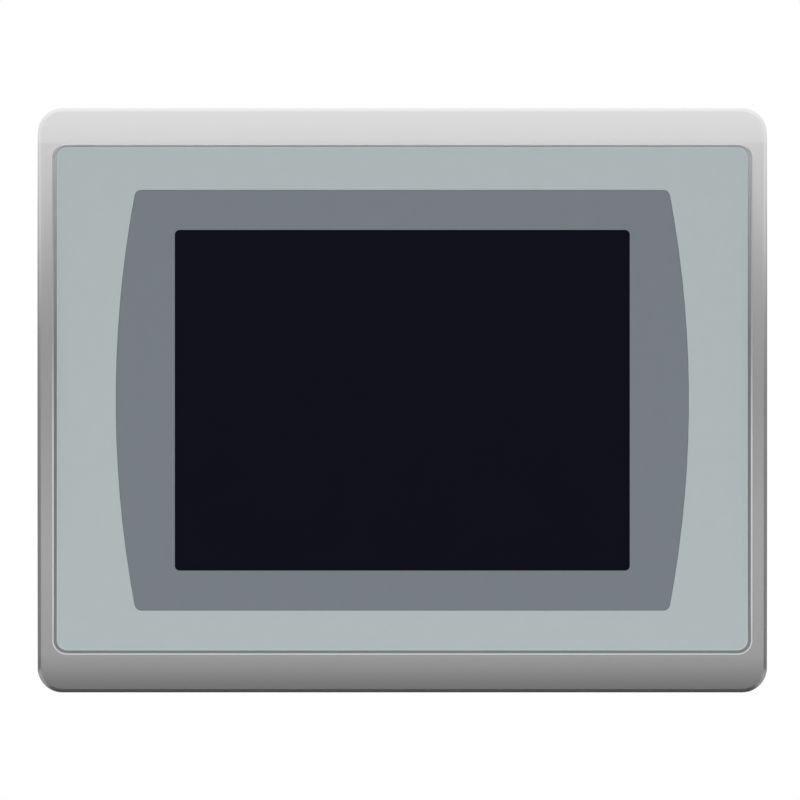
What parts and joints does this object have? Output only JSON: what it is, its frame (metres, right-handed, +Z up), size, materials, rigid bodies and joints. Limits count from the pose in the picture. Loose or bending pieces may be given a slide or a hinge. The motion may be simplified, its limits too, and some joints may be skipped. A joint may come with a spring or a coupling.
{
  "type": "hmi touch panel",
  "caption": "Panel-mount touch terminal: silver bezel round a two-tone grey face and black screen, stepped vented housing, cam levers that clamp it in a cut-out.",
  "frame": {"origin": "centre of the panel seat, the plane of the sealing gasket's rear face", "axes": "+X to the operator's right, +Y from the panel seat into the cabinet, +Z up; the screen faces -Y"},
  "size_m": [0.212, 0.0696, 0.17],
  "materials": {
    "silver_paint": "silver metallic paint, satin",
    "light_grey_face": "matte",
    "dark_grey_face": "matte",
    "screen_film": "satin",
    "screen_glass": "gloss",
    "screen_glass_dark": "gloss",
    "amber_flex": "satin",
    "white_flex": "satin",
    "black_foam": "matte",
    "black_rubber": "matte",
    "bright_steel": "satin",
    "zinc_steel": "satin",
    "screw_steel": "satin",
    "black_screw": "satin",
    "clear_acrylic": "gloss",
    "white_plastic": "matte",
    "black_plastic": "matte",
    "orange_plastic": "satin",
    "ivory_plastic": "satin",
    "green_plastic": "satin",
    "green_board": "satin",
    "component_mix": "satin",
    "chip_black": "matte",
    "nickel_brass": "satin",
    "brass": "satin",
    "black_aluminium": "satin",
    "port_metal": "satin",
    "charcoal_metal": "matte",
    "charcoal_cover": "matte",
    "label_film": "satin",
    "lever_zinc": "satin",
    "lever_grey": "satin"
  },
  "bodies": {
    "housing": {"bezel": "silver_paint", "front_overlay": "light_grey_face", "display_border": "dark_grey_face", "touch_film": "screen_film", "touch_glass": "screen_glass", "touch_tail": "amber_flex", "touch_gasket": "black_foam", "panel_gasket": "black_rubber", "lcd_frame": "bright_steel", "lcd_cell": "screen_glass_dark", "light_guide": "clear_acrylic", "backlight_tray": "white_plastic", "display_carrier": "zinc_steel", "carrier_screws": "screw_steel", "lcd_ribbon": "white_flex", "power_board": "green_board", "power_components": "component_mix", "board_link": "black_plastic", "main_board": "green_board", "board_standoffs": "nickel_brass", "board_screws": "screw_steel", "processor": "chip_black", "heat_sink": "black_aluminium", "memory_chips": "chip_black", "battery_holder": "black_plastic", "coin_cell": "bright_steel", "ethernet_jack": "port_metal", "usb_device_port": "port_metal", "usb_host_port": "port_metal", "sd_card_socket": "port_metal", "power_header": "green_plastic", "reset_switch": "black_plastic", "status_lights": "clear_acrylic", "chassis": "charcoal_metal", "chassis_screws": "black_screw", "io_plate": "zinc_steel", "back_cover": "charcoal_cover", "back_cover_screws": "black_screw", "rating_label": "label_film"},
    "shoe_top_left": {"lever_shoe_top_left": "lever_zinc"},
    "lever_top_left": {"cam_lever_top_left": "lever_grey"},
    "shoe_top_right": {"lever_shoe_top_right": "lever_zinc"},
    "lever_top_right": {"cam_lever_top_right": "lever_grey"},
    "shoe_bottom_left": {"lever_shoe_bottom_left": "lever_zinc"},
    "lever_bottom_left": {"cam_lever_bottom_left": "lever_grey"},
    "shoe_bottom_right": {"lever_shoe_bottom_right": "lever_zinc"},
    "lever_bottom_right": {"cam_lever_bottom_right": "lever_grey"},
    "shoe_left": {"lever_shoe_left": "lever_zinc"},
    "lever_left": {"cam_lever_left": "lever_grey"},
    "shoe_right": {"lever_shoe_right": "lever_zinc"},
    "lever_right": {"cam_lever_right": "lever_grey"},
    "terminal_block": {"terminal_block": "green_plastic", "terminal_contacts": "brass", "clamp_springs": "bright_steel"},
    "release_button_1": {"release_button_1": "orange_plastic"},
    "release_button_2": {"release_button_2": "orange_plastic"},
    "release_button_3": {"release_button_3": "orange_plastic"},
    "reset_button": {"reset_button": "ivory_plastic"}
  },
  "joints": [
    {"name": "top_left_shoe_slide", "type": "slide", "parent": "housing", "child": "shoe_top_left", "axis": [0, 1, 0], "range_m": [-0.0012, 0.0155]},
    {"name": "top_left_lever_turn", "type": "hinge", "parent": "shoe_top_left", "child": "lever_top_left", "pos_m": [-0.052, 0.0143, 0.0745], "axis": [0, 0, 1], "range_deg": [0, 90]},
    {"name": "top_right_shoe_slide", "type": "slide", "parent": "housing", "child": "shoe_top_right", "axis": [0, 1, 0], "range_m": [-0.0012, 0.0155]},
    {"name": "top_right_lever_turn", "type": "hinge", "parent": "shoe_top_right", "child": "lever_top_right", "pos_m": [0.052, 0.0143, 0.0745], "axis": [0, 0, 1], "range_deg": [0, 90]},
    {"name": "bottom_left_shoe_slide", "type": "slide", "parent": "housing", "child": "shoe_bottom_left", "axis": [0, 1, 0], "range_m": [-0.0012, 0.0155]},
    {"name": "bottom_left_lever_turn", "type": "hinge", "parent": "shoe_bottom_left", "child": "lever_bottom_left", "pos_m": [-0.052, 0.0143, -0.0745], "axis": [0, 0, -1], "range_deg": [0, 90]},
    {"name": "bottom_right_shoe_slide", "type": "slide", "parent": "housing", "child": "shoe_bottom_right", "axis": [0, 1, 0], "range_m": [-0.0012, 0.0155]},
    {"name": "bottom_right_lever_turn", "type": "hinge", "parent": "shoe_bottom_right", "child": "lever_bottom_right", "pos_m": [0.052, 0.0143, -0.0745], "axis": [0, 0, -1], "range_deg": [0, 90]},
    {"name": "left_shoe_slide", "type": "slide", "parent": "housing", "child": "shoe_left", "axis": [0, 1, 0], "range_m": [-0.0012, 0.0155]},
    {"name": "left_lever_turn", "type": "hinge", "parent": "shoe_left", "child": "lever_left", "pos_m": [-0.0955, 0.0143, 0], "axis": [-1, 0, 0], "range_deg": [0, 90]},
    {"name": "right_shoe_slide", "type": "slide", "parent": "housing", "child": "shoe_right", "axis": [0, 1, 0], "range_m": [-0.0012, 0.0155]},
    {"name": "right_lever_turn", "type": "hinge", "parent": "shoe_right", "child": "lever_right", "pos_m": [0.0955, 0.0143, 0], "axis": [1, 0, 0], "range_deg": [0, 90]},
    {"name": "terminal_block_pull", "type": "slide", "parent": "housing", "child": "terminal_block", "axis": [0, 0, -1], "range_m": [0, 0.012]},
    {"name": "release_button_1_press", "type": "slide", "parent": "terminal_block", "child": "release_button_1", "axis": [0, 0, 1], "range_m": [0, 0.0012], "stiffness_N_per_m": 800, "springref_m": -0.0008},
    {"name": "release_button_2_press", "type": "slide", "parent": "terminal_block", "child": "release_button_2", "axis": [0, 0, 1], "range_m": [0, 0.0012], "stiffness_N_per_m": 800, "springref_m": -0.0008},
    {"name": "release_button_3_press", "type": "slide", "parent": "terminal_block", "child": "release_button_3", "axis": [0, 0, 1], "range_m": [0, 0.0012], "stiffness_N_per_m": 800, "springref_m": -0.0008},
    {"name": "reset_button_press", "type": "slide", "parent": "housing", "child": "reset_button", "axis": [0, 0, 1], "range_m": [0, 0.0006], "stiffness_N_per_m": 800, "springref_m": -0.0008}
  ]
}
